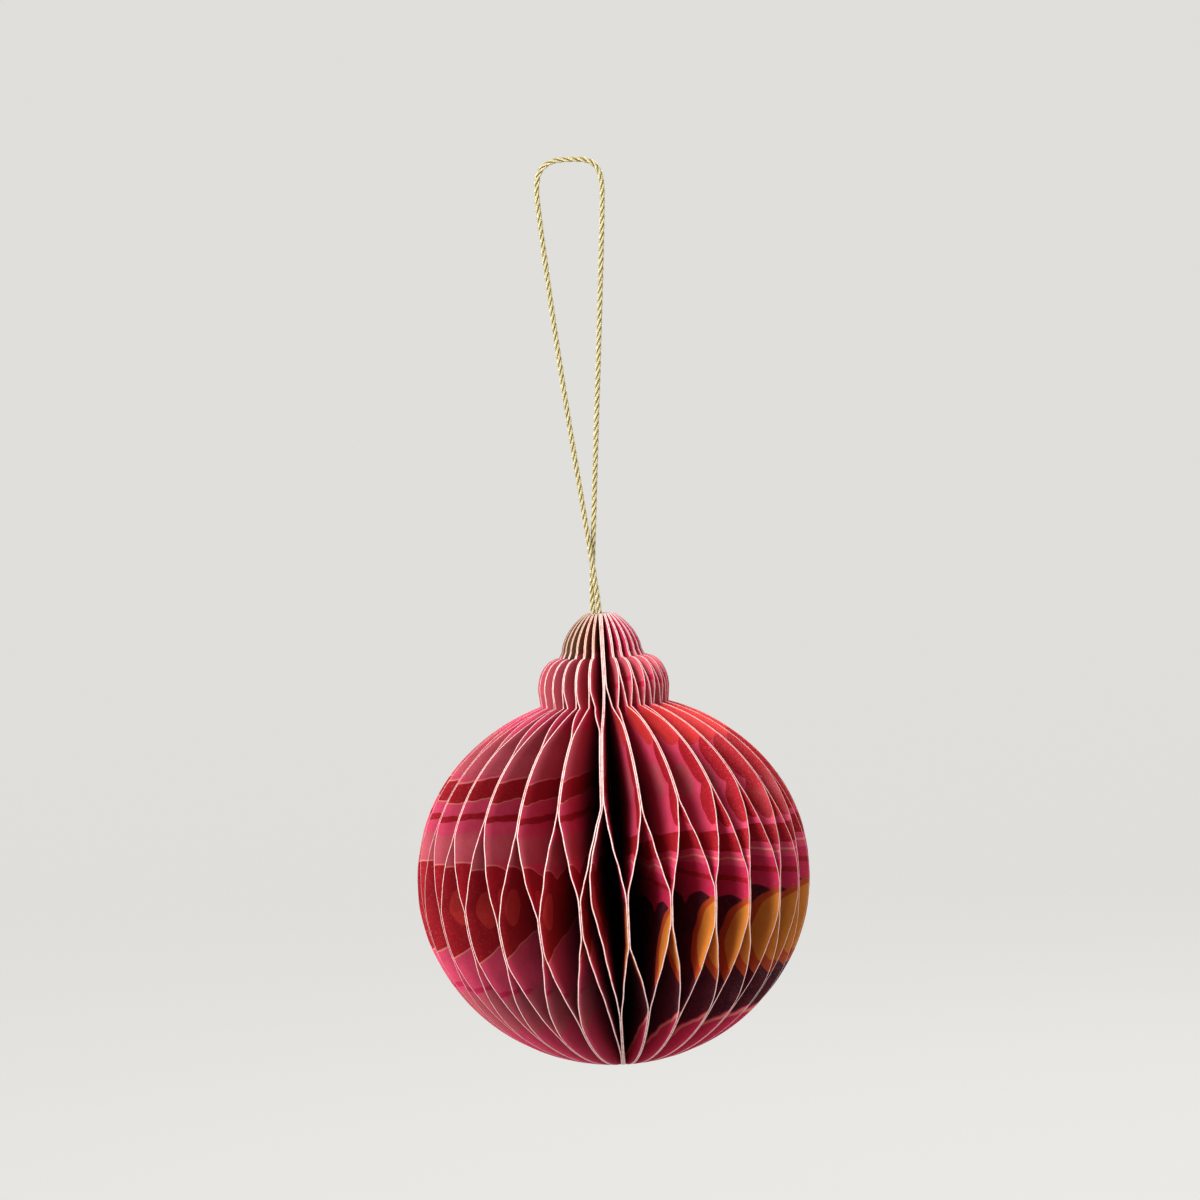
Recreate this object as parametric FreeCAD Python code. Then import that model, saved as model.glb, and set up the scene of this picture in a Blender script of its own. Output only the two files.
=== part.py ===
import FreeCAD, Part
import math
import os
import random

# Hanging paper ball ornament, in millimetres. 57 die-cut card leaves stand round a vertical axis and
# are bound at their inner edges. Neighbours are glued together in four rows, with other partners in
# each row, so every leaf swings from one neighbour to the other and the cells open as lenses. A cord
# loop comes out of the bore. The origin is at the inside of the top of the loop, +Z is up, and the
# front of the ornament faces -Y. Depths are measured down from the top of the paper.

# Card and binding
LEAF_COUNT = 57
CARD_THICKNESS = 0.25
GLUE_FILM = 0.02
BINDING_WALL = 0.5
BINDING_CLEARANCE = 0.02
BINDING_TOP_INSET = 1.5
BINDING_BOTTOM_INSET = 2.0

# Outline of a leaf from top to bottom: rounded crown, flare, collar, neck and ball
CROWN_LAND = 0.3
CROWN_RADIUS = 7.6
CROWN_HEIGHT = 7.0
CROWN_FULLNESS = 1.6
FLARE_WIDTH = 0.6
FLARE_HEIGHT = 1.2
COLLAR_WIDTH = 4.3
COLLAR_HEIGHT = 6.1
NECK_INSET = 0.3
NECK_HEIGHT = 3.0
BALL_RADIUS = 37.5
UPPER_BALL_HEIGHT = 32.8
LOWER_BALL_HEIGHT = 35.9
POLE_LAND = 0.8

# How finely each curve of the outline is cut into straight facets, and how near a corner of the ball's
# curve, or any other corner, may come to the start or end of a glued stretch before one of them goes
CROWN_FACETS = 3
COLLAR_FACETS = 3
UPPER_BALL_FACETS = 7
LOWER_BALL_FACETS = 8
CURVE_CLEARANCE = 1.2
CORNER_CLEARANCE = 0.6

# Rows of glue from top to bottom, and the free stretches between them
CROWN_ROW_LENGTH = 13.2
NECK_FREE_LENGTH = 8.8
SHOULDER_ROW_LENGTH = 13.6
WAIST_FREE_LENGTH = 16.1
BELLY_ROW_LENGTH = 7.3
FOOT_FREE_LENGTH = 15.7

# Hand work: the rows lie higher on the right, groups differ a little, and the crown is turned
ROW_SLANT = 4.0
ROW_SCATTER = 1.8
TURN_SCATTER_ANGLE = 0.5
CROWN_TURN_ANGLE = -2.5
SCATTER_SEED = 20770

# The three leaves at the seam are turned in the second row. The last leaf has no partner in the third
# row: it leans back there before it meets the first leaf again, and the leaf before it joins them late
SEAM_TURN_ANGLE = -2.7
SEAM_LEAN_ANGLE = -7.0
SEAM_LEAN_DROP = 11.6
SEAM_LEAN_LENGTH = 5.0
SEAM_LATE_JOIN = 7.7

# Cord, with its knot in the sleeve of glue
LOOP_HEIGHT = 85.7
CORD_DIAMETER = 1.07
ARC_SHARE = 0.45
KNOT_TOP_DEPTH = 9.0
KNOT_LENGTH = 4.6
KNOT_CLEARANCE = 0.02
KNOT_CHAMFER = 0.5

# Centre line of the cord as x, y and height: up the right leg from the knot, over the top and down the
# left leg. The legs are measured from the top of the paper and the bend from the inside of the loop's
# top. The strands make half a turn round each other where they leave the bore.
RIGHT_LEG = [
    (-0.76, 0.00, -KNOT_TOP_DEPTH),
    (-0.76, 0.00, -5.0),
    (-1.36, 0.10, 0.8),
    (-1.16, 0.64, 6.2),
    (4.68, 0.02, 76.0),
]
LOOP_BEND = [
    (4.95, 0.00, -2.3),
    (3.10, 0.00, 0.4),
    (-0.90, 0.00, 0.8),
    (-5.20, 0.00, 0.6),
    (-7.75, 0.00, -2.3),
]
LEFT_LEG = [
    (-7.42, 0.02, 75.6),
    (-4.95, 0.00, 46.0),
    (-0.42, -0.66, 5.6),
    (-0.10, -0.10, 0.4),
    (0.50, 0.00, -5.0),
    (0.50, 0.00, -KNOT_TOP_DEPTH),
]

LEAF_PITCH = 360.0 / (LEAF_COUNT - 1)
EDGE_PITCH = 360.0 / LEAF_COUNT
BORE_RADIUS = (CARD_THICKNESS + GLUE_FILM) / (2 * math.sin(math.radians(EDGE_PITCH / 2)))
BINDING_RADIUS = BORE_RADIUS - BINDING_CLEARANCE
BINDING_BORE = BINDING_RADIUS - BINDING_WALL
COLLAR_RADIUS = CROWN_RADIUS + FLARE_WIDTH + COLLAR_WIDTH
COLLAR_DEPTH = CROWN_HEIGHT + FLARE_HEIGHT + COLLAR_HEIGHT
NECK_DEPTH = COLLAR_DEPTH + NECK_HEIGHT
BALL_DEPTH = NECK_DEPTH + UPPER_BALL_HEIGHT
PAPER_HEIGHT = BALL_DEPTH + LOWER_BALL_HEIGHT
SHOULDER_ROW_START = CROWN_ROW_LENGTH + NECK_FREE_LENGTH
SHOULDER_ROW_END = SHOULDER_ROW_START + SHOULDER_ROW_LENGTH
BELLY_ROW_START = SHOULDER_ROW_END + WAIST_FREE_LENGTH
BELLY_ROW_END = BELLY_ROW_START + BELLY_ROW_LENGTH
POLE_ROW_START = BELLY_ROW_END + FOOT_FREE_LENGTH


class Curve:
    """A quarter of an ellipse, or of a flatter or fuller curve, that is cut off at an end radius.

    It is widest at its base, and its height is the distance along the axis from there to the end."""

    def __init__(self, base_depth, height, centre_radius, width, end_radius, fullness=2.0):
        self.base_depth = base_depth
        self.height = height
        self.centre_radius = centre_radius
        self.width = width
        self.power = fullness
        self.end_angle = math.acos(((end_radius - centre_radius) / width) ** (fullness / 2))
        self.full_height = height / math.sin(self.end_angle) ** (2 / fullness)

    def radius(self, depth):
        """Radius of the curve at a depth."""
        rise = min(1.0, abs((depth - self.base_depth) / self.full_height))
        return self.centre_radius + self.width * (1 - rise ** self.power) ** (1 / self.power)

    def depths(self, facets):
        """Depths of the ends of its facets, from the base."""
        rises = []
        for step in range(facets + 1):
            rise = math.sin(self.end_angle * step / facets) ** (2 / self.power)
            rises.append(self.base_depth + self.full_height * rise)
        return rises


FLARE_RADIUS = CROWN_RADIUS + FLARE_WIDTH
FLARE_DEPTH = CROWN_HEIGHT + FLARE_HEIGHT
NECK_RADIUS = COLLAR_RADIUS - NECK_INSET
CROWN = Curve(CROWN_HEIGHT, -CROWN_HEIGHT, 0, CROWN_RADIUS, BORE_RADIUS + CROWN_LAND, CROWN_FULLNESS)
COLLAR = Curve(COLLAR_DEPTH, -COLLAR_HEIGHT, FLARE_RADIUS, COLLAR_WIDTH, FLARE_RADIUS)
UPPER_BALL = Curve(BALL_DEPTH, -UPPER_BALL_HEIGHT, 0, BALL_RADIUS, NECK_RADIUS)
LOWER_BALL = Curve(BALL_DEPTH, LOWER_BALL_HEIGHT, 0, BALL_RADIUS, BORE_RADIUS + POLE_LAND)


def outline_radius(depth):
    """Radius of a leaf's outer edge at a depth."""
    if depth <= CROWN_HEIGHT:
        return CROWN.radius(depth)
    if depth <= FLARE_DEPTH:
        return CROWN_RADIUS + FLARE_WIDTH * (depth - CROWN_HEIGHT) / FLARE_HEIGHT
    if depth <= COLLAR_DEPTH:
        return COLLAR.radius(depth)
    if depth <= NECK_DEPTH:
        return COLLAR_RADIUS - NECK_INSET * (depth - COLLAR_DEPTH) / NECK_HEIGHT
    if depth <= BALL_DEPTH:
        return UPPER_BALL.radius(depth)
    return LOWER_BALL.radius(depth)


def free_angle(leaf):
    """Direction of a leaf in an even fan, in degrees from the front, with the seam at 0."""
    return (leaf - 1) * LEAF_PITCH


def crown_group(leaf):
    """Leaves glued together in the first and third rows. The last leaf goes with the first pair."""
    if leaf == LEAF_COUNT:
        return (1, 2)
    first = leaf if leaf % 2 else leaf - 1
    return (first, first + 1)


def shoulder_group(leaf):
    """Leaves glued together in the second and fourth rows. Three of them meet at the seam."""
    if leaf in (1, LEAF_COUNT - 1, LEAF_COUNT):
        return (LEAF_COUNT - 1, LEAF_COUNT, LEAF_COUNT + 1)
    first = leaf if leaf % 2 == 0 else leaf - 1
    return (first, first + 1)


def group_angle(group):
    """Mean direction of a group of leaves."""
    return sum(free_angle(leaf) for leaf in group) / len(group)


def group_scatter(row, group):
    """Small differences of hand work for one glued group: in turn, start and end."""
    draw = random.Random(SCATTER_SEED * 10000 + row * 100 + group[0] % LEAF_COUNT)
    return [draw.uniform(-1, 1) for _ in range(3)]


def nearest_turn(direction, near):
    """The same direction counted within half a turn of another one."""
    return direction + 360.0 * round((near - direction) / 360.0)


def glue_marks(leaf):
    """A leaf's glued stretches from the top, as (start depth, end depth, direction in degrees)."""
    crown = crown_group(leaf)
    shoulder = shoulder_group(leaf)
    shoulder_turn = SEAM_TURN_ANGLE if LEAF_COUNT in shoulder else 0.0
    rows = [
        (crown, 0.0, CROWN_ROW_LENGTH, CROWN_TURN_ANGLE),
        (shoulder, SHOULDER_ROW_START, SHOULDER_ROW_END, shoulder_turn),
        (crown, BELLY_ROW_START, BELLY_ROW_END, 0.0),
        (shoulder, POLE_ROW_START, PAPER_HEIGHT, 0.0),
    ]
    marks = []
    for row, (group, start, end, turn) in enumerate(rows, 1):
        turn_draw, start_draw, end_draw = group_scatter(row, group)
        direction = group_angle(group) + turn + TURN_SCATTER_ANGLE * turn_draw
        slant = ROW_SLANT * math.sin(math.radians(group_angle(group)))
        if start > 0:
            start += ROW_SCATTER * start_draw - slant
        if end < PAPER_HEIGHT:
            end += ROW_SCATTER * end_draw - slant
        marks.append((start, end, nearest_turn(direction, free_angle(leaf))))
    if leaf == LEAF_COUNT:
        lean_start = marks[1][1] + SEAM_LEAN_DROP
        lean = free_angle(leaf) + SEAM_LEAN_ANGLE
        marks[2] = (lean_start, lean_start + SEAM_LEAN_LENGTH, lean)
    if leaf == LEAF_COUNT - 1:
        marks[3] = (POLE_ROW_START + SEAM_LATE_JOIN, PAPER_HEIGHT, marks[3][2])
    return marks


def direction_at(marks, depth):
    """Direction of a leaf at a depth: steady along each glued stretch, and even from one to the next."""
    if depth <= marks[0][1]:
        return marks[0][2]
    for (_, free_start, before), (free_end, end, after) in zip(marks, marks[1:]):
        if depth < free_end:
            share = (depth - free_start) / (free_end - free_start)
            return before + (after - before) * share
        if depth <= end:
            return after
    return marks[-1][2]


def leaf_levels(leaf):
    """Depths of a leaf's corners: those of its outline, and its glued stretches' starts and ends.

    The leaves at the seam lie side by side over more than a row, so they have the same levels."""
    leaves = [leaf]
    if leaf in (1, LEAF_COUNT - 1, LEAF_COUNT):
        leaves = [LEAF_COUNT - 1, LEAF_COUNT, 1]
    levels = CROWN.depths(CROWN_FACETS) + COLLAR.depths(COLLAR_FACETS)
    levels += [NECK_DEPTH, PAPER_HEIGHT]
    glued = []
    for neighbour in leaves:
        for start, end, _ in glue_marks(neighbour):
            for depth in (start, end):
                if min(abs(depth - level) for level in levels) > CORNER_CLEARANCE:
                    levels.append(depth)
                    glued.append(depth)
    ball = UPPER_BALL.depths(UPPER_BALL_FACETS)[:-1] + LOWER_BALL.depths(LOWER_BALL_FACETS)[1:-1]
    levels += [depth for depth in ball if min(abs(depth - mark) for mark in glued) > CURVE_CLEARANCE]
    return sorted(levels)


def flat_face(*corners):
    """A flat face from its corners."""
    return Part.Face(Part.makePolygon(list(corners) + [corners[0]]))


def leaf_solid(leaf):
    """One card leaf: two swinging faces of flat facets, a cut outer edge and an inner edge at the bore.

    The inner edge is a straight upright line, so it has a corner at every other level only."""
    marks = glue_marks(leaf)
    inner_angle = (leaf - 0.5) * EDGE_PITCH
    heading = math.radians(inner_angle)
    outward = FreeCAD.Vector(math.sin(heading), -math.cos(heading), 0)
    across = FreeCAD.Vector(math.cos(heading), math.sin(heading), 0)
    half = across * (CARD_THICKNESS / 2)
    inner = []
    outer = []
    for depth in leaf_levels(leaf):
        radius = outline_radius(depth)
        swing = math.tan(math.radians(direction_at(marks, depth) - inner_angle))
        height = FreeCAD.Vector(0, 0, -LOOP_HEIGHT - depth)
        inner.append(outward * BORE_RADIUS + height)
        outer.append(outward * radius + across * ((radius - BORE_RADIUS) * swing) + height)
    last = len(inner) - 1
    faces = [
        flat_face(inner[0] + half, inner[0] - half, outer[0] - half, outer[0] + half),
        flat_face(inner[last] - half, inner[last] + half, outer[last] + half, outer[last] - half),
    ]
    for top in range(0, last, 2):
        low = min(top + 2, last)
        faces.append(flat_face(inner[top] + half, inner[top] - half, inner[low] - half, inner[low] + half))
        for side in (half, half * -1):
            faces.append(flat_face(inner[top] + side, outer[top] + side, outer[top + 1] + side))
            faces.append(flat_face(inner[top] + side, outer[top + 1] + side, inner[low] + side))
            if low > top + 1:
                faces.append(flat_face(inner[low] + side, outer[top + 1] + side, outer[low] + side))
    for top in range(last):
        low = top + 1
        faces.append(flat_face(outer[top] - half, outer[top] + half, outer[low] + half, outer[low] - half))
    solid = Part.Solid(Part.makeShell(faces))
    if solid.Volume < 0:
        solid.reverse()
    return solid


def spine_binding():
    """Sleeve of binding glue that the inner edges of the leaves stand on."""
    length = PAPER_HEIGHT - BINDING_TOP_INSET - BINDING_BOTTOM_INSET
    base = FreeCAD.Vector(0, 0, -LOOP_HEIGHT - PAPER_HEIGHT + BINDING_BOTTOM_INSET)
    sleeve = Part.makeCylinder(BINDING_RADIUS, length, base)
    return sleeve.cut(Part.makeCylinder(BINDING_BORE, length, base))


def cord_knot():
    """Knot that joins the ends of the cord, glued into the sleeve."""
    base = FreeCAD.Vector(0, 0, -LOOP_HEIGHT - KNOT_TOP_DEPTH - KNOT_LENGTH)
    knot = Part.makeCylinder(BINDING_BORE - KNOT_CLEARANCE, KNOT_LENGTH, base)
    rims = [edge for edge in knot.Edges if isinstance(edge.Curve, Part.Circle)]
    return knot.makeChamfer(KNOT_CHAMFER, rims)


def cord_points():
    """The cord's route in the ornament's own frame."""
    points = [FreeCAD.Vector(x, y, height - LOOP_HEIGHT) for x, y, height in RIGHT_LEG]
    points += [FreeCAD.Vector(x, y, height) for x, y, height in LOOP_BEND]
    points += [FreeCAD.Vector(x, y, height - LOOP_HEIGHT) for x, y, height in LEFT_LEG]
    return points


def hanging_cord():
    """Cord as a round tube along straight runs joined by tangent arcs, its length and its radii."""
    points = cord_points()
    edges = []
    radii = []
    here = points[0]
    for number in range(1, len(points) - 1):
        back = points[number - 1] - points[number]
        ahead = points[number + 1] - points[number]
        trim = ARC_SHARE * min(back.Length, ahead.Length)
        half_turn = (math.pi - back.getAngle(ahead)) / 2
        radius = trim / math.tan(half_turn)
        radii.append(radius)
        start = points[number] + back.normalize() * trim
        end = points[number] + ahead.normalize() * trim
        inwards = (back + ahead).normalize()
        middle = points[number] + inwards * (radius / math.cos(half_turn) - radius)
        edges.append(Part.LineSegment(here, start).toShape())
        edges.append(Part.Arc(start, middle, end).toShape())
        here = end
    edges.append(Part.LineSegment(here, points[-1]).toShape())
    path = Part.Wire(edges)
    section = Part.Wire(Part.makeCircle(CORD_DIAMETER / 2, points[0], points[1] - points[0]))
    return path.makePipeShell([section], True, False), path.Length, radii


def write(name, shape):
    """Save one sub-part."""
    if not shape.isValid():
        raise ValueError(name + " is not a valid solid")
    shape.exportStep("parts/" + name + ".step")


def main():
    os.makedirs("parts", exist_ok=True)
    card = 0.0
    for leaf in range(1, LEAF_COUNT + 1):
        solid = leaf_solid(leaf)
        card += solid.Volume
        write("leaf_%02d" % leaf, solid)
    write("spine_binding", spine_binding())
    write("cord_knot", cord_knot())
    cord, length, radii = hanging_cord()
    write("hanging_cord", cord)
    print("card volume %.0f mm3" % card)
    print("cord length %.1f mm, volume %.2f mm3, section times length %.2f mm3"
          % (length, cord.Volume, math.pi * CORD_DIAMETER ** 2 / 4 * length))
    print("cord radii " + " ".join("%.1f" % radius for radius in radii))


main()
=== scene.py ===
"""Hanging paper ball ornament: printed card leaves, a gold cord with its knot, and the glue of the spine."""

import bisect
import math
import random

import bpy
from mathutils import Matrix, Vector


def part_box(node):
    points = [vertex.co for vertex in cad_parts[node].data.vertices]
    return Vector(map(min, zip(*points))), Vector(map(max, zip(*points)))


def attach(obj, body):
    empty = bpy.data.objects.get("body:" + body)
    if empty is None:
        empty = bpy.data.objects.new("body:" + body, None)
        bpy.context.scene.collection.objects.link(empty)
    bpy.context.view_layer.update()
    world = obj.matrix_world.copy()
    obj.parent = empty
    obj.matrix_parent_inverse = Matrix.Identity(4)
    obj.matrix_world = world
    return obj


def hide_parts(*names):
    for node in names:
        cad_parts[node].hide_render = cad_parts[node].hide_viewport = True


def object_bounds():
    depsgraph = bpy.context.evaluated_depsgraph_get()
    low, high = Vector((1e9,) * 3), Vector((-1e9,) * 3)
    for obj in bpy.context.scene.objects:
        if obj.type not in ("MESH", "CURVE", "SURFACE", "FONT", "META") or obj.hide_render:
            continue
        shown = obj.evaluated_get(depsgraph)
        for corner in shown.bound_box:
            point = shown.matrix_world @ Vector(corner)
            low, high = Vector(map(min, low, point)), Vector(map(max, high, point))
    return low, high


bl_info = {
    "name": "Paper Ball Ornament",
    "version": (1, 0, 0),
    "blender": (4, 5, 0),
    "location": "3D View > Sidebar > Paper Ball",
    "description": "Dresses the packed model of a hanging paper ball ornament",
    "category": "Object",
}

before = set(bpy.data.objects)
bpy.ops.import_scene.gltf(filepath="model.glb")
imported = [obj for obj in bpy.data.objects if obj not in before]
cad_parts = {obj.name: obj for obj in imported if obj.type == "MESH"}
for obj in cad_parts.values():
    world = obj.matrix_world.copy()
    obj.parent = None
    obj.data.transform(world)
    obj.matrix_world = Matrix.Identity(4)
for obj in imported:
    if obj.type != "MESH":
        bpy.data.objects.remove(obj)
CAD_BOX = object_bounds()

LEAF_NAMES = sorted(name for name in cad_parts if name.startswith("leaf_"))
SEAM_LEAVES = (1, len(LEAF_NAMES) - 1, len(LEAF_NAMES))
PAPER_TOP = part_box(LEAF_NAMES[0])[1].z
MILLIMETRE = 0.001

# Points of a leaf's solid nearer the axis than this are at the bore, and points whose heights differ by less
# than the gap are on one level
BORE_LIMIT = 2.6 * MILLIMETRE
LEVEL_GAP = 0.05 * MILLIMETRE

# Cut edge of a leaf from top to bottom, in millimetres and as in the part's source: radius and depth of
# each end, and for a curve its base depth, height, centre radius, width and fullness
CROWN_LAND = 0.3
CROWN_CURVE = (7.0, -7.0, 0.0, 7.6, 1.6)
FLARE_END = (8.2, 8.2)
COLLAR_CURVE = (14.3, -6.1, 8.2, 4.3, 2.0)
NECK_END = (12.2, 17.3)
UPPER_BALL_CURVE = (50.1, -32.8, 0.0, 37.5, 2.0)
LOWER_BALL_CURVE = (50.1, 35.9, 0.0, 37.5, 2.0)
POLE_LAND = 0.8
CROWN_ROWS = 12
FLARE_ROWS = 3
COLLAR_ROWS = 12
NECK_ROWS = 4
UPPER_BALL_ROWS = 46
LOWER_BALL_ROWS = 52

# How far above and below a place the bend of a leaf is evened out, and the slope of a fully free leaf
BEND_REACH = 0.7 * MILLIMETRE
FREE_SLOPE = 4.0

# Waves along a cut edge, each as radians a metre and its share: how it strays sideways, and how it is worn
# back round a mean. Each grows towards the edge by its own power.
SWAY_WAVES = ((520, 0.5), (1270, 0.3))
SWAY_POWER = 2
WEAR_WAVES = ((900, 0.3), (2900, 0.2))
WEAR_MEAN = 0.5
WEAR_POWER = 6
SMOOTH_ANGLE = math.radians(35)

# The card's maps hold a metre as 10 units, which the print takes back to millimetres
MAP_UNITS = 10
MAP_MILLIMETRES = 100

# The print's hand-drawn waver in millimetres, the soft width of its borders, the reach where a sloping border
# has its stated level, and the inset from the cut edge, in map units, over which the painted shade of the
# leaves' depth sets in
WAVER_SCALE = 0.16
WAVER_WIDTH = 2.2
SOFT_BORDER = 0.1
SLOPE_CENTRE = 30
PAINTED_SHADE_START = 0.05
PAINTED_SHADE_FULL = 0.24
RUBBED_AND_HIGHLIGHT_WIDTH = 0.026

# How much lighter the ink is beside the cut edge: partly where it is rubbed thin, partly a painted highlight
# along the edge
RUBBED_INK_AND_HIGHLIGHT = (1.45, 1.6, 1.6)

# Grain and cloudiness of the card, as noise scales in 1/m
CARD_GRAIN = 3600
CARD_CLOUD = 420
EDGE_STAIN = 900

# The yellow tint of the crown's left edges: where it starts and is full below the top, half its soft width at
# the middle, and its strength
GILT_START = 8.0 * MILLIMETRE
GILT_FULL = 6.4 * MILLIMETRE
GILT_SIDE = 1.2 * MILLIMETRE
GILT_SHARE = 0.42

# Centre line of the cord in millimetres, as in the part's source: the right leg from the knot, the bend
# over the top, and the left leg back to the knot
CORD_ROUTE = [
    (-0.76, 0.00, -94.7),
    (-0.76, 0.00, -90.7),
    (-1.36, 0.10, -84.9),
    (-1.16, 0.64, -79.5),
    (4.68, 0.02, -9.7),
    (4.95, 0.00, -2.3),
    (3.10, 0.00, 0.4),
    (-0.90, 0.00, 0.8),
    (-5.20, 0.00, 0.6),
    (-7.75, 0.00, -2.3),
    (-7.42, 0.02, -10.1),
    (-4.95, 0.00, -39.7),
    (-0.42, -0.66, -80.1),
    (-0.10, -0.10, -85.3),
    (0.50, 0.00, -90.7),
    (0.50, 0.00, -94.7),
]
ROUTE_STEP = 0.35 * MILLIMETRE

# A ply's radius against the cord's diameter, the filaments round a ply and their slant in turns a millimetre
PLY_SHARE = 0.245
FILAMENTS = 9
FILAMENT_SLANT = 0.62
KNOT_STEPS = 120
KNOT_SIDES = 12

# The backdrop in metres: its width, where its floor starts in front and ends behind, the radius of its bend
# and its whole length. Its base is darker than its colour, and a glow that only the camera sees evens it out.
BACKDROP_WIDTH = 9
BACKDROP_FRONT = -2.6
BACKDROP_BACK = 1.6
BACKDROP_BEND = 1.2
BACKDROP_LENGTH = 7.2
BACKDROP_BASE = 0.5
BACKDROP_GLOW = 0.8

# Lamps: place, size and power in metres and watts, all turned to a point this far below the paper's top
LAMP_AIM_DEPTH = 0.04
LAMPS = (
    ("key lamp", (-0.55, -0.75, 0.45), 0.5, 13.0),
    ("fill lamp", (0.85, -0.6, 0.10), 0.6, 3.4),
    ("back lamp", (0.3, 0.8, 0.5), 0.5, 7.0),
)
ROOM_LIGHT = 0.38

# Camera: its sensor in millimetres, how wide it sees at the ball's axis, its side and height, and the height
# that it looks at
SENSOR = 36
VIEW_WIDTH = 0.22857
CAMERA_SIDE = 0.0002
CAMERA_HEIGHT = -0.057
AIM_HEIGHT = -0.0832


def linear(red, green, blue):
    """A colour given as screen values from 0 to 255, in the linear values that materials use."""
    return tuple(
        c / 12.92 if c <= 0.04045 else ((c + 0.055) / 1.055) ** 2.4
        for c in (red / 255, green / 255, blue / 255)
    )


def colour_property(name, description, default):
    """A colour that a user can change."""
    return bpy.props.FloatVectorProperty(
        name=name, description=description, subtype="COLOR", size=3, min=0, max=1, default=default
    )


class PaperBallCard(bpy.types.PropertyGroup):
    """Sizes of the card leaves and the inks of their print."""

    columns: bpy.props.IntProperty(
        name="Columns", description="Faces from the spine to the cut edge", default=10, min=2
    )
    edge_wear: bpy.props.FloatProperty(
        name="Edge wear", description="How far the cut edge is worn back at most",
        default=0.07 * MILLIMETRE, unit="LENGTH", precision=5,
    )
    sway: bpy.props.FloatProperty(
        name="Sway", description="How far a free stretch of edge strays sideways",
        default=0.16 * MILLIMETRE, unit="LENGTH", precision=5,
    )
    print_shift: bpy.props.FloatProperty(
        name="Print shift", description="How far the print lies off its place on a leaf",
        default=0.7 * MILLIMETRE, unit="LENGTH", precision=5,
    )
    seed: bpy.props.IntProperty(name="Seed", description="Chooses the small differences", default=7)
    pink: colour_property("Pink", "Main colour of the print", linear(212, 68, 102))
    rose: colour_property("Rose", "Dusty second pink", linear(196, 84, 98))
    crimson: colour_property("Crimson", "Deep pink of the lower half", linear(194, 38, 78))
    red: colour_property("Red", "Red of the bands and fields", linear(158, 18, 32))
    scarlet: colour_property("Scarlet", "Orange red of the round petals", linear(198, 50, 50))
    plum: colour_property("Plum", "Darkest ink", linear(52, 14, 30))
    ochre: colour_property("Ochre", "Yellow brown of the large round", linear(196, 118, 40))
    rust: colour_property("Rust", "Red brown beside the ochre", linear(170, 66, 24))
    olive: colour_property("Olive", "Brown of the crown's left faces", linear(104, 78, 50))
    outline: colour_property("Outline", "Thin pale lines between fields", linear(222, 130, 118))
    # Painted shade, not ink: the colour the faces darken to towards the spine, where the leaves shade each
    # other
    painted_depth_shade: colour_property("Painted depth shade", "Painted shade towards the spine", linear(40, 4, 12))
    gilt: colour_property("Gilt", "Yellow tint of the crown's left edges", linear(196, 160, 96))
    cut_edge: colour_property("Cut edge", "Bare core of the card", linear(255, 232, 225))


class PaperBallCord(bpy.types.PropertyGroup):
    """Make of the twisted gold cord."""

    diameter: bpy.props.FloatProperty(
        name="Diameter", description="Over the twisted plies",
        default=1.07 * MILLIMETRE, unit="LENGTH", precision=5,
    )
    plies: bpy.props.IntProperty(name="Plies", description="Yarns twisted together", default=3, min=2)
    lay: bpy.props.FloatProperty(
        name="Lay", description="Length of one full turn of a ply",
        default=4.9 * MILLIMETRE, unit="LENGTH", precision=5,
    )
    sides: bpy.props.IntProperty(name="Sides", description="Faces round a ply", default=10, min=6)
    gold: colour_property("Gold", "Bright metal foil", linear(252, 240, 184))
    # Painted shade: a darker copy of the gold for the gaps between filaments and where plies meet; it also
    # mottles the grain
    shade: colour_property("Shade", "Painted shade between filaments and plies", linear(122, 92, 34))


class PaperBallStage(bpy.types.PropertyGroup):
    """Floor, backdrop, lamps and camera."""

    floor_drop: bpy.props.FloatProperty(
        name="Floor drop", description="Gap from the ball to the floor",
        default=0.13, unit="LENGTH", precision=4,
    )
    backdrop: colour_property("Backdrop", "Colour of floor and backdrop", linear(241, 240, 237))
    camera_distance: bpy.props.FloatProperty(
        name="Camera distance", description="From the ball's axis", default=0.8, unit="LENGTH"
    )
    roll: bpy.props.FloatProperty(
        name="Camera roll", description="Turn of the camera about its own line of sight",
        default=math.radians(-3.1), subtype="ANGLE",
    )


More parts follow.
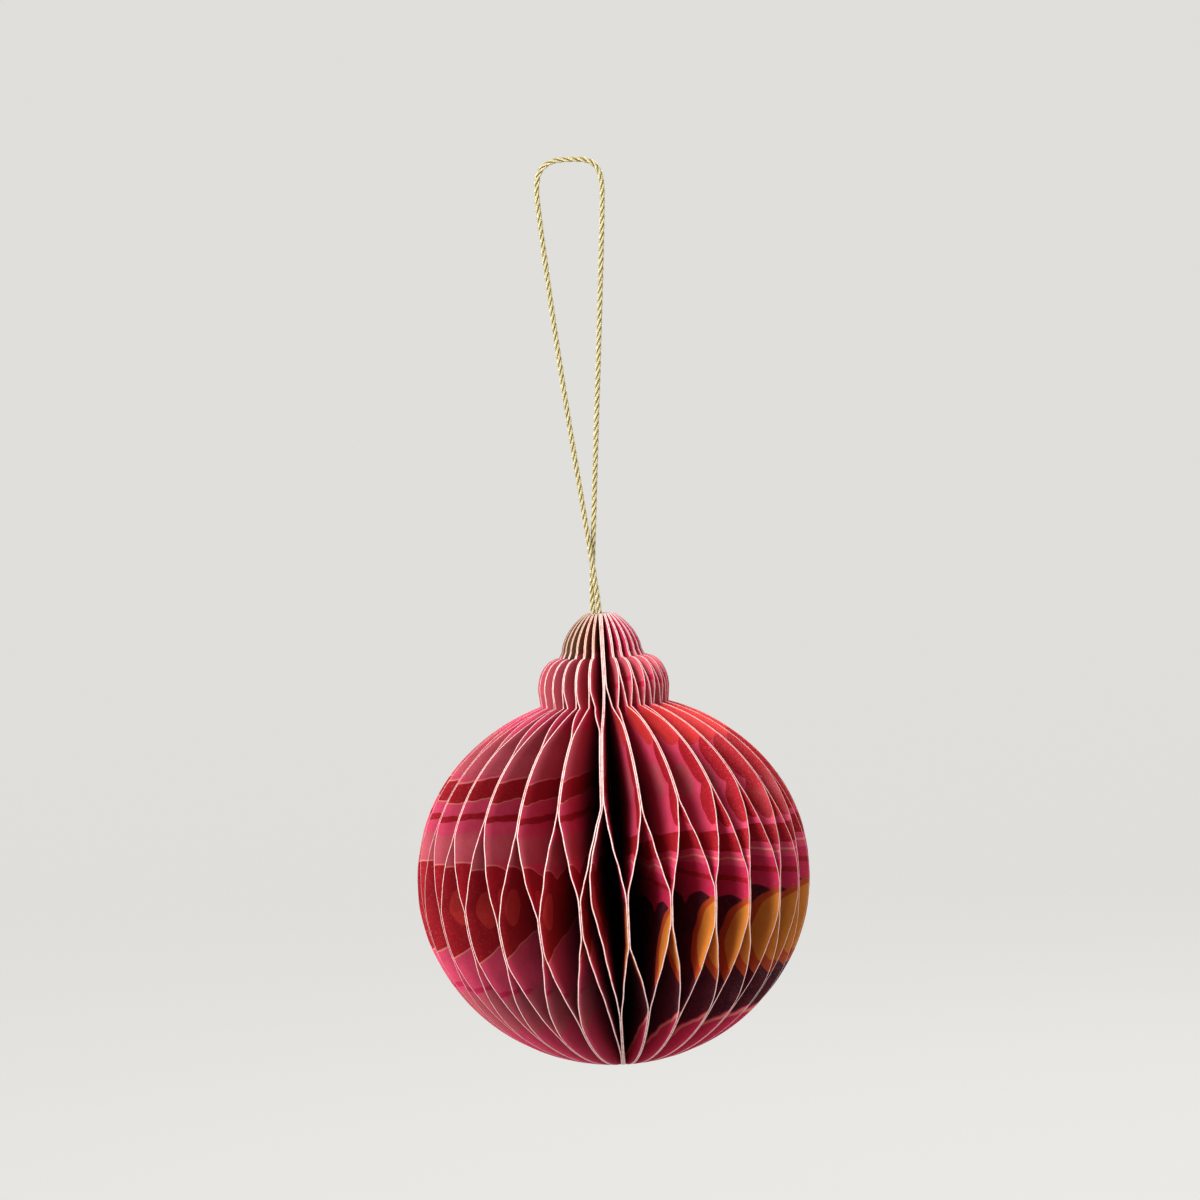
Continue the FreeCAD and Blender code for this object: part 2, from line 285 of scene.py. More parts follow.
class NodeSheet:
    """A material's nodes, added one after another."""

    def __init__(self, name):
        self.material = bpy.data.materials.new(name)
        self.material.use_nodes = True
        self.tree = self.material.node_tree
        self.shader = self.tree.nodes["Principled BSDF"]

    def put(self, target, value):
        """Link a socket to another, or set its value."""
        if isinstance(value, bpy.types.NodeSocket):
            self.tree.links.new(value, target)
        elif target.type == "RGBA" and len(value) == 3:
            target.default_value = (*value, 1)
        else:
            target.default_value = value

    def add(self, kind, inputs=(), **settings):
        """A node with its inputs, as a dictionary by name or a list in order."""
        node = self.tree.nodes.new(kind)
        for key, value in settings.items():
            setattr(node, key, value)
        pairs = inputs.items() if isinstance(inputs, dict) else enumerate(inputs)
        for key, value in pairs:
            self.put(node.inputs[key], value)
        return node

    def reckon(self, operation, *values):
        """A Math node's result."""
        return self.add("ShaderNodeMath", values, operation=operation).outputs[0]

    def parts(self, vector):
        """The three numbers of a vector."""
        return self.add("ShaderNodeSeparateXYZ", [vector]).outputs

    def map(self, name):
        """A map of the piece, by its name."""
        return self.add("ShaderNodeUVMap", uv_map=name).outputs[0]

    def scaled(self, vector, scales):
        """A vector with each of its numbers scaled."""
        return self.add("ShaderNodeVectorMath", [vector, scales], operation="MULTIPLY").outputs[0]

    def span(self, value, low, high, to_low=0.0, to_high=1.0):
        """A value taken smoothly from one span to another."""
        node = self.add(
            "ShaderNodeMapRange",
            {"Value": value, "From Min": low, "From Max": high, "To Min": to_low, "To Max": to_high},
            interpolation_type="SMOOTHSTEP",
        )
        return node.outputs["Result"]

    def mix(self, share, first, second, blend="MIX"):
        """Two colours mixed."""
        node = self.tree.nodes.new("ShaderNodeMix")
        node.data_type = "RGBA"
        node.blend_type = blend
        self.put(node.inputs[0], share)
        self.put(node.inputs[6], first)
        self.put(node.inputs[7], second)
        return node.outputs[2]

    def noise(self, vector, scale, detail=2.0, roughness=0.5):
        """Noise of a scale in 1/m, from 0 to 1."""
        node = self.add(
            "ShaderNodeTexNoise",
            {"Vector": vector, "Scale": scale, "Detail": detail, "Roughness": roughness},
        )
        return node.outputs[0]

    def bump(self, height, strength, distance, normal=None):
        """A surface's normal over a height, on top of another bump where one is given."""
        inputs = {"Height": height, "Strength": strength, "Distance": distance}
        if normal is not None:
            inputs["Normal"] = normal
        return self.add("ShaderNodeBump", inputs).outputs[0]

    def object_place(self):
        """The place in metres in the shared frame."""
        return self.add("ShaderNodeTexCoord").outputs["Object"]

    def set(self, **sockets):
        """Values or links of the shader's own sockets, with _ for a space."""
        for key, value in sockets.items():
            self.put(self.shader.inputs[key.replace("_", " ")], value)


class PrintSheet(NodeSheet):
    """The print on one face of the card, laid out in millimetres from the axis and from the paper's top."""

    def __init__(self, name, ground):
        super().__init__(name)
        place = self.scaled(self.map("card"), (MAP_MILLIMETRES, MAP_MILLIMETRES, 0))
        waver = self.add("ShaderNodeTexNoise", {"Vector": place, "Scale": WAVER_SCALE, "Detail": 1.5})
        width, middle = WAVER_WIDTH, -WAVER_WIDTH / 2
        shift = self.add(
            "ShaderNodeVectorMath", [waver.outputs["Color"], (width, width, 0), (middle, middle, 0)],
            operation="MULTIPLY_ADD",
        ).outputs[0]
        self.waved = self.add("ShaderNodeVectorMath", [place, shift], operation="ADD").outputs[0]
        self.reach, self.depth, _ = self.parts(self.waved)
        self.colour = ground

    def band(self, middle, half, slope=0.0):
        """Distance from a band across the leaf, in millimetres, less than 0 inside it."""
        off = self.reckon("ABSOLUTE", self.above(middle, slope))
        return self.reckon("SUBTRACT", off, half)

    def round(self, reach, depth, wide, high, turn=0.0):
        """Distance from a round field."""
        node = self.add(
            "ShaderNodeMapping",
            {
                "Vector": self.waved,
                "Location": (reach, depth, 0),
                "Rotation": (0, 0, math.radians(turn)),
                "Scale": (wide, high, 1),
            },
            vector_type="TEXTURE",
        )
        flat = self.scaled(node.outputs[0], (1, 1, 0))
        length = self.add("ShaderNodeVectorMath", [flat], operation="LENGTH").outputs["Value"]
        return self.reckon("MULTIPLY", self.reckon("SUBTRACT", length, 1.0), min(wide, high))

    def scallops(self, top, period, rise):
        """Distance from a field with a scalloped top edge."""
        turn = self.reckon("MULTIPLY", self.reach, math.pi / period)
        wave = self.reckon("ABSOLUTE", self.reckon("SINE", turn))
        edge = self.reckon("MULTIPLY_ADD", wave, -rise, top)
        return self.reckon("SUBTRACT", edge, self.depth)

    def above(self, level, slope=0.0):
        """Distance from all that lies above a level."""
        sloped = self.reckon("MULTIPLY_ADD", self.reach, slope, self.depth)
        return self.reckon("SUBTRACT", sloped, level + SLOPE_CENTRE * slope)

    def paint(self, distance, ink, line=None, line_width=0.0):
        """Print a field, and where a line is given, a pale line of that width round it."""
        if line is not None:
            inside = self.span(distance, line_width + SOFT_BORDER, line_width - SOFT_BORDER)
            self.colour = self.mix(inside, self.colour, line)
        self.colour = self.mix(self.span(distance, SOFT_BORDER, -SOFT_BORDER), self.colour, ink)


def finish_card(sheet, inks):
    """Paper grain, ink speckle, satin gloss, painted shade towards the spine, and a lighter strip beside the
    cut edge that is partly rubbed ink and partly painted highlight, on top of a print.
    """
    place = sheet.object_place()
    grain = sheet.noise(place, CARD_GRAIN, 3.0, 0.62)
    cloud = sheet.noise(place, CARD_CLOUD, 3.0, 0.55)
    speckle = sheet.span(grain, 0.55, 0.71, 0.0, 0.62)
    colour = sheet.mix(speckle, sheet.colour, sheet.mix(0.45, sheet.colour, inks.outline))
    dark = sheet.span(grain, 0.42, 0.28, 0.0, 0.30)
    colour = sheet.mix(dark, colour, sheet.mix(0.5, colour, inks.plum))
    colour = sheet.mix(sheet.span(cloud, 0.3, 0.7, 0.0, 0.22), colour, sheet.mix(0.6, colour, inks.red))
    # Painted shade: the faces darken with the inset from the cut edge towards the spine, as where the leaves
    # shade each other
    inwards = sheet.parts(sheet.map("inset"))[0]
    colour = sheet.mix(sheet.span(inwards, PAINTED_SHADE_START, PAINTED_SHADE_FULL, 0.0, 0.86), colour, inks.painted_depth_shade)
    # Lighter beside the cut edge: partly ink rubbed thin, partly a painted highlight along the edge, broken
    # up by the card's cloud
    beside_edge = sheet.span(inwards, RUBBED_AND_HIGHLIGHT_WIDTH, 0.0)
    worn = sheet.reckon("MULTIPLY", beside_edge, sheet.span(cloud, 0.25, 0.6, 0.4, 1.0))
    colour = sheet.mix(worn, colour, RUBBED_INK_AND_HIGHLIGHT, "MULTIPLY")
    sheet.set(
        Base_Color=colour,
        Roughness=sheet.span(grain, 0.3, 0.7, 0.40, 0.56),
        Specular_IOR_Level=0.42,
        Normal=sheet.bump(grain, 0.22, 0.00006, sheet.bump(cloud, 0.12, 0.0004)),
    )
    return sheet.material


def left_print(inks):
    """Print on the faces that the left half of the ball shows."""
    sheet = PrintSheet("card print left", inks.pink)
    sheet.paint(sheet.band(25.0, 4.2, 0.05), inks.rose)
    sheet.paint(sheet.above(17.2), inks.rose)
    sheet.paint(sheet.above(7.7), inks.olive)
    sheet.paint(sheet.band(31.8, 1.7, -0.03), inks.red, inks.outline, 0.22)
    sheet.paint(sheet.band(36.6, 0.55, 0.02), inks.red)
    sheet.paint(sheet.band(42.0, 2.4), inks.rose)
    field = sheet.reckon("MAXIMUM", sheet.scallops(47.0, 15.0, 2.4), sheet.above(59.6, -0.42))
    sheet.paint(field, inks.red, inks.outline, 0.26)
    sheet.paint(sheet.round(33.0, 52.4, 2.3, 3.4, 20), inks.scarlet)
    sheet.paint(sheet.band(69.0, 0.5, 0.1), inks.crimson)
    sheet.paint(sheet.round(26.0, 73.0, 8.0, 5.0, 25), inks.rose)
    return finish_card(sheet, inks)


def right_print(inks):
    """Print on the faces that the right half of the ball shows."""
    sheet = PrintSheet("card print right", inks.pink)
    sheet.paint(sheet.above(17.2), inks.rose)
    sheet.paint(sheet.above(7.4), inks.crimson)
    sheet.paint(sheet.band(12.2, 0.5, 0.05), inks.crimson)
    sheet.paint(sheet.round(17.5, 20.8, 6.5, 3.0, 24), inks.scarlet)
    petals = sheet.reckon(
        "MINIMUM", sheet.round(27.8, 27.0, 6.0, 3.0, 48), sheet.round(32.8, 34.0, 5.4, 2.9, 62)
    )
    hollows = sheet.reckon(
        "MINIMUM", sheet.round(26.6, 28.0, 6.0, 3.0, 48), sheet.round(31.6, 34.9, 5.4, 2.9, 62)
    )
    sheet.paint(petals, inks.red)
    sheet.paint(sheet.reckon("MAXIMUM", petals, sheet.reckon("MULTIPLY", hollows, -1.0)), inks.scarlet)
    sheet.paint(sheet.round(24.4, 31.4, 3.6, 2.2, 48), inks.rose)
    sheet.paint(sheet.band(42.2, 1.6, 0.05), inks.red)
    sheet.paint(sheet.band(45.2, 0.2, 0.05), inks.outline)
    sheet.paint(sheet.reckon("MULTIPLY", sheet.above(46.4), -1.0), inks.crimson)
    sheet.paint(sheet.band(48.6, 0.45, -0.04), inks.red)
    plum = sheet.reckon("MAXIMUM", sheet.scallops(54.6, 13.0, 3.0), sheet.above(73.0, 0.42))
    sheet.paint(plum, inks.plum)
    sheet.paint(sheet.round(38.6, 61.0, 9.6, 9.2), inks.rust)
    sheet.paint(sheet.round(39.8, 60.2, 8.6, 7.6), inks.ochre)
    sheet.paint(sheet.band(73.6, 0.3, 0.42), inks.outline)
    return finish_card(sheet, inks)


def edge_material(inks):
    """Bare core of the card where it was cut, with ink at its two rims and where it ran over in places."""
    sheet = NodeSheet("card cut edge")
    place = sheet.object_place()
    fibre = sheet.noise(place, CARD_GRAIN, 3.0, 0.6)
    stain = sheet.noise(place, EDGE_STAIN, 2.0)
    colour = sheet.mix(sheet.span(stain, 0.46, 0.74, 0.0, 0.55), inks.cut_edge, inks.outline)
    colour = sheet.mix(sheet.span(fibre, 0.6, 0.78, 0.0, 0.4), colour, inks.rose)
    across, _, height = sheet.parts(place)
    crown = sheet.span(height, PAPER_TOP - GILT_START, PAPER_TOP - GILT_FULL)
    left = sheet.span(across, GILT_SIDE, -GILT_SIDE, 0.0, GILT_SHARE)
    colour = sheet.mix(sheet.reckon("MULTIPLY", crown, left), colour, inks.gilt)
    side = sheet.reckon("ABSOLUTE", sheet.parts(sheet.map("inset"))[1])
    colour = sheet.mix(sheet.span(side, 0.24, 0.47, 0.0, 0.9), colour, inks.red)
    sheet.set(
        Base_Color=colour, Roughness=0.85, Specular_IOR_Level=0.25,
        Normal=sheet.bump(fibre, 0.5, 0.00008),
    )
    return sheet.material


def grouped_levels(points):
    """Points of a leaf's solid grouped by height, from the top down."""
    groups = []
    for point in sorted(points, key=lambda p: -p.z):
        if groups and groups[-1][-1].z - point.z < LEVEL_GAP:
            groups[-1].append(point)
        else:
            groups.append([point])
    return groups


class LeafFrame:
    """Where one leaf stands: its line at the bore, and how far it swings at each level."""

    def __init__(self, name):
        points = [v.co.copy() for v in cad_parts[name].data.vertices]
        inner = [p for p in points if math.hypot(p.x, p.y) < BORE_LIMIT]
        foot = Vector((sum(p.x for p in inner), sum(p.y for p in inner), 0)) / len(inner)
        self.foot = foot
        self.outward = foot.normalized()
        self.across = Vector((-self.outward.y, self.outward.x, 0))
        self.depths = []
        self.reaches = []
        self.swings = []
        for group in grouped_levels(points):
            outer = [p for p in group if math.hypot(p.x, p.y) > BORE_LIMIT]
            middle = sum(outer, Vector()) / len(outer)
            offset = Vector((middle.x, middle.y, 0)) - foot
            reach = offset.dot(self.outward)
            self.depths.append(PAPER_TOP - middle.z)
            self.reaches.append(reach)
            self.swings.append(offset.dot(self.across) / reach)
        self.bends = {}

    def straight_swing(self, depth):
        """Swing of the solid at a depth, straight from level to level."""
        level = bisect.bisect(self.depths, depth, 1, len(self.depths) - 1) - 1
        top, low = self.depths[level], self.depths[level + 1]
        share = min(max((depth - top) / (low - top), 0.0), 1.0)
        return self.swings[level] * (1 - share) + self.swings[level + 1] * share

    def swing(self, depth):
        """Evened sideways swing at a depth for each metre outwards, and how free the leaf is there."""
        if depth not in self.bends:
            before, here, after = (self.straight_swing(depth + BEND_REACH * k) for k in (-1, 0, 1))
            free = abs(after - before) / (2 * BEND_REACH) / FREE_SLOPE
            self.bends[depth] = ((before + 2 * here + after) / 4, min(1.0, free))
        return self.bends[depth]


def quarter_curve(base_depth, height, centre, width, fullness, end_radius, rows):
    """Points of a curve from its base to the radius where it is cut off, as radius and depth."""
    end_angle = math.acos(((end_radius - centre) / width) ** (fullness / 2))
    full_height = height / math.sin(end_angle) ** (2 / fullness)
    points = []
    for row in range(rows + 1):
        angle = end_angle * row / rows
        radius = centre + width * math.cos(angle) ** (2 / fullness)
        points.append((radius, base_depth + full_height * math.sin(angle) ** (2 / fullness)))
    return points


def straight_run(start, end, rows):
    """Points from a start to an end, without the start."""
    return [tuple(a + (b - a) * row / rows for a, b in zip(start, end)) for row in range(1, rows + 1)]


def leaf_outline(bore):
    """The cut edge of a leaf from top to bottom, as reach from the bore's line and depth, in metres."""
    points = quarter_curve(*CROWN_CURVE, bore + CROWN_LAND, CROWN_ROWS)[::-1]
    points += straight_run(points[-1], FLARE_END, FLARE_ROWS)
    points += quarter_curve(*COLLAR_CURVE, FLARE_END[0], COLLAR_ROWS)[-2::-1]
    points += straight_run(points[-1], NECK_END, NECK_ROWS)
    points += quarter_curve(*UPPER_BALL_CURVE, NECK_END[0], UPPER_BALL_ROWS)[-2::-1]
    points += quarter_curve(*LOWER_BALL_CURVE, bore + POLE_LAND, LOWER_BALL_ROWS)[1:]
    return [((radius - bore) * MILLIMETRE, depth * MILLIMETRE) for radius, depth in points]


def deselect_all():
    """Leave edit mode and clear the selection, before a primitive is added."""
    if bpy.context.mode != "OBJECT":
        bpy.ops.object.mode_set(mode="OBJECT")
    bpy.ops.object.select_all(action="DESELECT")


def copy_of(source, name):
    """A copy of an object with its own mesh."""
    piece = source.copy()
    piece.data = source.data.copy()
    piece.name = piece.data.name = name
    bpy.context.scene.collection.objects.link(piece)
    return piece


def dress(piece, node):
    """A finished piece takes the place of a solid."""
    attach(piece, "root")
    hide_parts(node)


def card_blank(card, outline, bore, thickness):
    """One flat leaf as it is cut and printed: x is the reach from the bore's line, y the side, z the height.

    Its card map places the print. Its inset map holds the distance from the cut edge and the place across the
    thickness, from -0.5 to 0.5.
    """
    deselect_all()
    rows = len(outline) - 1
    bpy.ops.mesh.primitive_grid_add(
        x_subdivisions=card.columns, y_subdivisions=rows, size=1, calc_uvs=True,
        rotation=(math.radians(90), 0, 0),
    )
    blank = bpy.context.active_object
    bpy.ops.object.transform_apply(location=True, rotation=True, scale=True)
    cut_edges = []
    for vertex in blank.data.vertices:
        share = vertex.co.x + 0.5
        reach, depth = outline[round((0.5 - vertex.co.z) * rows)]
        vertex.co = (reach * share, 0, -depth)
        cut_edges.append(reach)
    layer = blank.data.uv_layers[0]
    layer.name = "card"
    inset = blank.data.uv_layers.new(name="inset")
    for loop in blank.data.loops:
        place = blank.data.vertices[loop.vertex_index].co
        layer.data[loop.index].uv = ((place.x + bore) * MAP_UNITS, -place.z * MAP_UNITS)
        inset.data[loop.index].uv = ((cut_edges[loop.vertex_index] - place.x) * MAP_UNITS, 0)
    for material in (right_print(card), left_print(card), edge_material(card)):
        blank.data.materials.append(material)
    solidify = blank.modifiers.new("Card thickness", "SOLIDIFY")
    solidify.thickness = thickness
    solidify.offset = 0
    solidify.material_offset = 1
    solidify.material_offset_rim = 2
    bpy.ops.object.modifier_apply(modifier=solidify.name)
    inset = blank.data.uv_layers["inset"]
    for loop in blank.data.loops:
        side = blank.data.vertices[loop.vertex_index].co.y / thickness
        inset.data[loop.index].uv = (inset.data[loop.index].uv[0], side)
    bpy.ops.object.shade_smooth_by_angle(angle=SMOOTH_ANGLE)
    return blank


def edge_waves(waves, phases, depth):
    """How far the waves along a cut edge are out at a depth."""
    return sum(share * math.sin(depth * pitch + phase) for (pitch, share), phase in zip(waves, phases))


def bend_leaf(piece, leaf, card, draw):
    """Stand a flat copy at its place in the fan, swung from one neighbour to the other."""
    phases = [draw.uniform(0, 2 * math.pi) for _ in range(4)]
    full_reach = max(leaf.reaches)
    for vertex in piece.data.vertices:
        reach, side, depth = vertex.co.x, vertex.co.y, -vertex.co.z
        swing, free = leaf.swing(depth)
        far = reach / full_reach
        stray = edge_waves(SWAY_WAVES, phases[:2], depth)
        wear = WEAR_MEAN + edge_waves(WEAR_WAVES, phases[2:], depth)
        lateral = reach * swing + side + card.sway * free * far ** SWAY_POWER * stray
        reach -= card.edge_wear * wear * far ** WEAR_POWER
        place = leaf.foot + leaf.outward * reach + leaf.across * lateral
        vertex.co = (place.x, place.y, PAPER_TOP - depth)
    shift = [draw.uniform(-1, 1) * card.print_shift * MAP_UNITS for _ in range(2)]
    for item in piece.data.uv_layers["card"].data:
        item.uv = (item.uv[0] + shift[0], item.uv[1] + shift[1])


class CardLeaves(bpy.types.Operator):
    """Cut, print and bend the card leaves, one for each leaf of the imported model"""

    bl_idname = "paper_ball.card_leaves"
    bl_label = "Card Leaves"

    def execute(self, context):
        card = context.scene.paper_ball_card
        first = LeafFrame(LEAF_NAMES[0])
        corners = [v.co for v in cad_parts[LEAF_NAMES[0]].data.vertices]
        top = [p for p in corners if p.z > PAPER_TOP - LEVEL_GAP and math.hypot(p.x, p.y) < BORE_LIMIT]
        sides = [p.dot(first.across) for p in top]
        thickness = max(sides) - min(sides)
        bore = first.foot.length
        blank = card_blank(card, leaf_outline(bore / MILLIMETRE), bore, thickness)
        for number, name in enumerate(LEAF_NAMES, 1):
            piece = copy_of(blank, "printed_" + name)
            pair = len(LEAF_NAMES) if number in SEAM_LEAVES else number
            bend_leaf(piece, LeafFrame(name), card, random.Random(card.seed * 100 + pair))
            dress(piece, name)
        bpy.data.objects.remove(blank)
        return {"FINISHED"}


def route_points():
    """Points along the cord's centre line, read from its smooth curve at even steps."""
    curve = bpy.data.curves.new("cord route", "CURVE")
    curve.dimensions = "3D"
    curve.resolution_u = 40
    spline = curve.splines.new("NURBS")
    spline.points.add(len(CORD_ROUTE) - 1)
    for point, place in zip(spline.points, CORD_ROUTE):
        point.co = (*(c * MILLIMETRE for c in place), 1)
    spline.order_u = 3
    spline.use_endpoint_u = True
    holder = bpy.data.objects.new("cord route", curve)
    bpy.context.scene.collection.objects.link(holder)
    mesh = bpy.data.meshes.new_from_object(holder)
    line = [v.co.copy() for v in mesh.vertices]
    bpy.data.meshes.remove(mesh)
    bpy.data.objects.remove(holder)
    bpy.data.curves.remove(curve)
    return even_steps(line, ROUTE_STEP)


def even_steps(line, step):
    """The same line with points at even steps."""
    lengths = [0.0]
    for a, b in zip(line, line[1:]):
        lengths.append(lengths[-1] + (b - a).length)
    count = max(2, round(lengths[-1] / step))
    points = []
    place = 0
    for number in range(count + 1):
        at = lengths[-1] * number / count
        while place < len(line) - 2 and lengths[place + 1] < at:
            place += 1
        span = lengths[place + 1] - lengths[place]
        share = (at - lengths[place]) / span if span else 0.0
        points.append(line[place].lerp(line[place + 1], share))
    return points


def travelling_frames(line, closed=False):
    """Two directions square to the line at each point, carried along without twist."""
    tangents = []
    for number in range(len(line)):
        if closed:
            before, after = line[number - 1], line[(number + 1) % len(line)]
        else:
            before, after = line[max(number - 1, 0)], line[min(number + 1, len(line) - 1)]
        tangents.append((after - before).normalized())
    side = tangents[0].orthogonal().normalized()
    frames = []
    for tangent in tangents:
        side = (side - tangent * side.dot(tangent)).normalized()
        frames.append((side.copy(), tangent.cross(side)))
    return frames


def ply_line(line, frames, radius, turns, phase):
    """The line of one ply, wound round the cord's own line."""
    points = []
    for number, (point, (side, up)) in enumerate(zip(line, frames)):
        angle = phase + 2 * math.pi * turns * number / (len(line) - 1)
        points.append(point + (side * math.cos(angle) + up * math.sin(angle)) * radius)
    return points


def tube_mesh(name, lines, radius, sides, closed=False, axis=None, rim=1.0):
    """Round tubes along lines, in one mesh.

    Their yarn map holds the length in millimetres and the turn, and their rim map how far they lie out from
    an axis, as a share of the rim.
    """
    vertices = []
    faces = []
    places = []
    shares = []
    for line in lines:
        base = len(vertices)
        frames = travelling_frames(line, closed)
        for point, (side, up) in zip(line, frames):
            for corner in range(sides):
                angle = 2 * math.pi * corner / sides
                vertices.append(point + (side * math.cos(angle) + up * math.sin(angle)) * radius)
        for number, vertex in enumerate(vertices[base:]):
            shares.append((vertex - axis[number // sides]).length / rim if axis else 1.0)
        rings = len(line)
        step = (line[1] - line[0]).length / MILLIMETRE
        for ring in range(rings if closed else rings - 1):
            for corner in range(sides):
                after = (corner + 1) % sides
                low, high = base + ring * sides, base + (ring + 1) % rings * sides
                faces.append((low + corner, low + after, high + after, high + corner))
                places.append([
                    (ring * step, corner / sides), (ring * step, (corner + 1) / sides),
                    ((ring + 1) * step, (corner + 1) / sides), ((ring + 1) * step, corner / sides),
                ])
        if not closed:
            for ring, order in ((0, -1), (rings - 1, 1)):
                end = [base + ring * sides + corner for corner in range(sides)][::order]
                faces.append(tuple(end))
                places.append([(ring * step, 0.0)] * sides)
    mesh = bpy.data.meshes.new(name)
    mesh.from_pydata(vertices, [], faces)
    layer = mesh.uv_layers.new(name="yarn")
    outward = mesh.uv_layers.new(name="rim")
    for polygon, corners in zip(mesh.polygons, places):
        polygon.use_smooth = True
        for loop, corner in zip(polygon.loop_indices, corners):
            layer.data[loop].uv = corner
            outward.data[loop].uv = (shares[mesh.loops[loop].vertex_index], 0)
    mesh.validate()
    piece = bpy.data.objects.new(name, mesh)
    bpy.context.scene.collection.objects.link(piece)
    return piece


def gold_yarn(cord):
    """Metal foil yarn: fine filaments laid aslant, with painted shade in the gaps between them and where the
    plies meet, mottled grain and bright flecks.
    """
    sheet = NodeSheet("gold metallic yarn")
    length, turn, _ = sheet.parts(sheet.map("yarn"))
    aslant = sheet.reckon("MULTIPLY_ADD", length, FILAMENT_SLANT, turn)
    ridge = sheet.reckon("SINE", sheet.reckon("MULTIPLY", aslant, 2 * math.pi * FILAMENTS))
    grain = sheet.noise(sheet.object_place(), 5200, 3.0, 0.6)
    fleck = sheet.noise(sheet.object_place(), 1900, 2.0, 0.5)
    # Painted shade in the gaps between the filaments
    painted_gap_shade = sheet.span(ridge, -0.2, -1.0, 0.0, 0.75)
    colour = sheet.mix(painted_gap_shade, cord.gold, cord.shade)
    colour = sheet.mix(sheet.span(grain, 0.5, 0.72, 0.0, 0.5), colour, cord.shade)
    # Painted shade where the plies meet: each ply is darker on its side towards the cord's axis
    rim = sheet.parts(sheet.map("rim"))[0]
    colour = sheet.mix(sheet.span(rim, 0.93, 0.62, 0.0, 0.9), colour, cord.shade)
    height = sheet.reckon("MULTIPLY_ADD", grain, 0.8, ridge)
    sheet.set(
        Base_Color=colour, Metallic=0.3, Roughness=sheet.span(fleck, 0.35, 0.65, 0.22, 0.46),
        Normal=sheet.bump(height, 0.55, 0.00005),
    )
    return sheet.material


class HangingCord(bpy.types.Operator):
    """Twist the gold cord from its plies along its route"""

    bl_idname = "paper_ball.hanging_cord"
    bl_label = "Hanging Cord"

    def execute(self, context):
        cord = context.scene.paper_ball_cord
        line = route_points()
        length = sum((b - a).length for a, b in zip(line, line[1:]))
        frames = travelling_frames(line)
        ply_radius = PLY_SHARE * cord.diameter
        turns = length / cord.lay
        plies = [
            ply_line(line, frames, cord.diameter / 2 - ply_radius, turns, 2 * math.pi * ply / cord.plies)
            for ply in range(cord.plies)
        ]
        piece = tube_mesh(
            "gold_cord", plies, ply_radius, cord.sides, axis=line, rim=cord.diameter / 2
        )
        piece.data.materials.append(gold_yarn(cord))
        dress(piece, "hanging_cord")
        return {"FINISHED"}


class CordKnot(bpy.types.Operator):
    """Tie the knot that joins the cord's ends inside the spine"""

    bl_idname = "paper_ball.cord_knot"
    bl_label = "Cord Knot"

    def execute(self, context):
        cord = context.scene.paper_ball_cord
        low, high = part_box("cord_knot")
        middle = (low + high) / 2
        strand = cord.diameter / 2
        wide = (high.x - low.x) / 2 - strand
        tall = (high.z - low.z) / 2 - strand
        line = []
        for step in range(KNOT_STEPS):
            turn = 2 * math.pi * step / KNOT_STEPS
            out = wide * (2 + math.cos(3 * turn)) / 3
            place = Vector((out * math.cos(2 * turn), out * math.sin(2 * turn), tall * math.sin(3 * turn)))
            line.append(middle + place)
        piece = tube_mesh("tied_knot", [line], strand, KNOT_SIDES, closed=True)
        piece.data.materials.append(bpy.data.materials["gold metallic yarn"])
        dress(piece, "cord_knot")
        return {"FINISHED"}


class SpineGlue(bpy.types.Operator):
    """Give the sleeve of glue at the spine its clear, slightly cloudy finish"""

    bl_idname = "paper_ball.spine_glue"
    bl_label = "Spine Glue"

    def execute(self, context):
        sheet = NodeSheet("dried binding glue")
        place = sheet.object_place()
        cloud = sheet.noise(place, 700, 3.0, 0.55)
        brush = sheet.noise(sheet.scaled(place, (1, 1, 0.2)), 2600)
        colour = sheet.mix(sheet.span(cloud, 0.35, 0.7), linear(228, 214, 190), linear(196, 172, 142))
        sheet.set(
            Base_Color=colour, Roughness=sheet.span(brush, 0.3, 0.7, 0.28, 0.5),
            Normal=sheet.bump(brush, 0.4, 0.0002), Subsurface_Weight=0.15, Subsurface_Scale=0.001,
        )
        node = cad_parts["spine_binding"]
        node.data.materials.clear()
        node.data.materials.append(sheet.material)
        return {"FINISHED"}


def area_lamp(name, place, target, size, power):
    """A soft round lamp, turned to a point."""
    data = bpy.data.lights.new(name, "AREA")
    data.shape = "DISK"
    data.size = size
    data.energy = power
    lamp = bpy.data.objects.new(name, data)
    bpy.context.scene.collection.objects.link(lamp)
    lamp.location = place
    lamp.rotation_euler = (Vector(target) - Vector(place)).to_track_quat("-Z", "Y").to_euler()


def backdrop_place(run):
    """Distance back and height of the backdrop at a length along it: floor, bend and wall."""
    quarter = BACKDROP_BEND * math.pi / 2
    if run < BACKDROP_BACK:
        return run, 0
    if run < BACKDROP_BACK + quarter:
        angle = (run - BACKDROP_BACK) / BACKDROP_BEND
        return BACKDROP_BACK + BACKDROP_BEND * math.sin(angle), BACKDROP_BEND * (1 - math.cos(angle))
    return BACKDROP_BACK + BACKDROP_BEND, BACKDROP_BEND + run - BACKDROP_BACK - quarter


def sweep_backdrop(floor_height):
    """One sheet that is floor, bend and wall behind the ball."""
    deselect_all()
    bpy.ops.mesh.primitive_grid_add(x_subdivisions=2, y_subdivisions=40, size=1)
    backdrop = bpy.context.active_object
    backdrop.name = backdrop.data.name = "backdrop"
    for vertex in backdrop.data.vertices:
        back, height = backdrop_place((vertex.co.y + 0.5) * BACKDROP_LENGTH + BACKDROP_FRONT)
        vertex.co = (vertex.co.x * BACKDROP_WIDTH, back, height + floor_height)
    bpy.ops.object.shade_smooth()
    return backdrop


